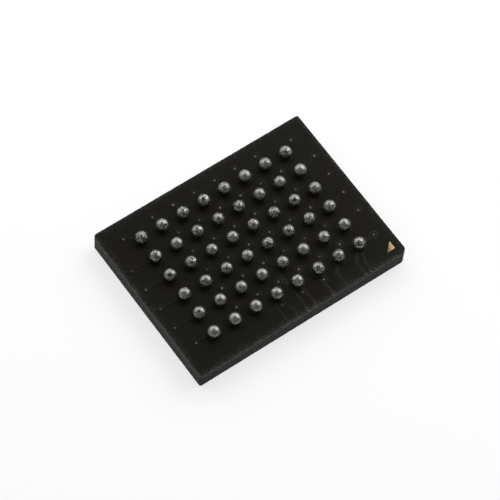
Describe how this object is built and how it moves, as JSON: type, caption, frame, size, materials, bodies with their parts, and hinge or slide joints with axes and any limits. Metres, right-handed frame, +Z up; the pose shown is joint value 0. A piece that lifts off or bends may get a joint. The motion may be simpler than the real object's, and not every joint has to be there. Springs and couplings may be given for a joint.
{
  "type": "ball grid array chip",
  "caption": "Small black ball grid array chip lying on its moulded cap, with a grid of solder balls on top and a gold triangle at the corner of the first ball.",
  "frame": {"origin": "centre of the mould cap's flat face, on which the chip lies", "axes": "+X along the long side towards ball row A, +Y along the short side towards ball column 6, +Z up, out of the ball side"},
  "size_m": [0.008, 0.006, 0.0011],
  "materials": {
    "mould_compound": "matt filled epoxy, saw-cut and grainy on the sides",
    "solder_mask": "satin, slightly mottled",
    "solder": "satin tin-silver alloy with pits and dark specks",
    "gold": "satin gold plate",
    "copper": "bare etched copper",
    "laminate": "sawn glass-epoxy laminate",
    "silicon": "polished silicon",
    "die_attach_film": "cured adhesive film",
    "pad_aluminium": "bright aluminium metallisation"
  },
  "bodies": {
    "root": {"mould_cap": "mould_compound", "die": "silicon", "die_attach": "die_attach_film", "bond_pads": "pad_aluminium", "bond_wires": "gold", "copper_die_side": "copper", "solder_mask_die_side": "solder_mask", "substrate_core": "laminate", "via_barrels": "copper", "copper_ball_side": "copper", "solder_mask_ball_side": "solder_mask", "index_mark": "gold", "ball_a1": "solder", "ball_a2": "solder", "ball_a3": "solder", "ball_a4": "solder", "ball_a5": "solder", "ball_a6": "solder", "ball_b1": "solder", "ball_b2": "solder", "ball_b3": "solder", "ball_b4": "solder", "ball_b5": "solder", "ball_b6": "solder", "ball_c1": "solder", "ball_c2": "solder", "ball_c3": "solder", "ball_c4": "solder", "ball_c5": "solder", "ball_c6": "solder", "ball_d1": "solder", "ball_d2": "solder", "ball_d3": "solder", "ball_d4": "solder", "ball_d5": "solder", "ball_d6": "solder", "ball_e1": "solder", "ball_e2": "solder", "ball_e3": "solder", "ball_e4": "solder", "ball_e5": "solder", "ball_e6": "solder", "ball_f1": "solder", "ball_f2": "solder", "ball_f3": "solder", "ball_f4": "solder", "ball_f5": "solder", "ball_f6": "solder", "ball_g1": "solder", "ball_g2": "solder", "ball_g3": "solder", "ball_g4": "solder", "ball_g5": "solder", "ball_g6": "solder", "ball_h1": "solder", "ball_h2": "solder", "ball_h3": "solder", "ball_h4": "solder", "ball_h5": "solder", "ball_h6": "solder"}
  },
  "joints": []
}
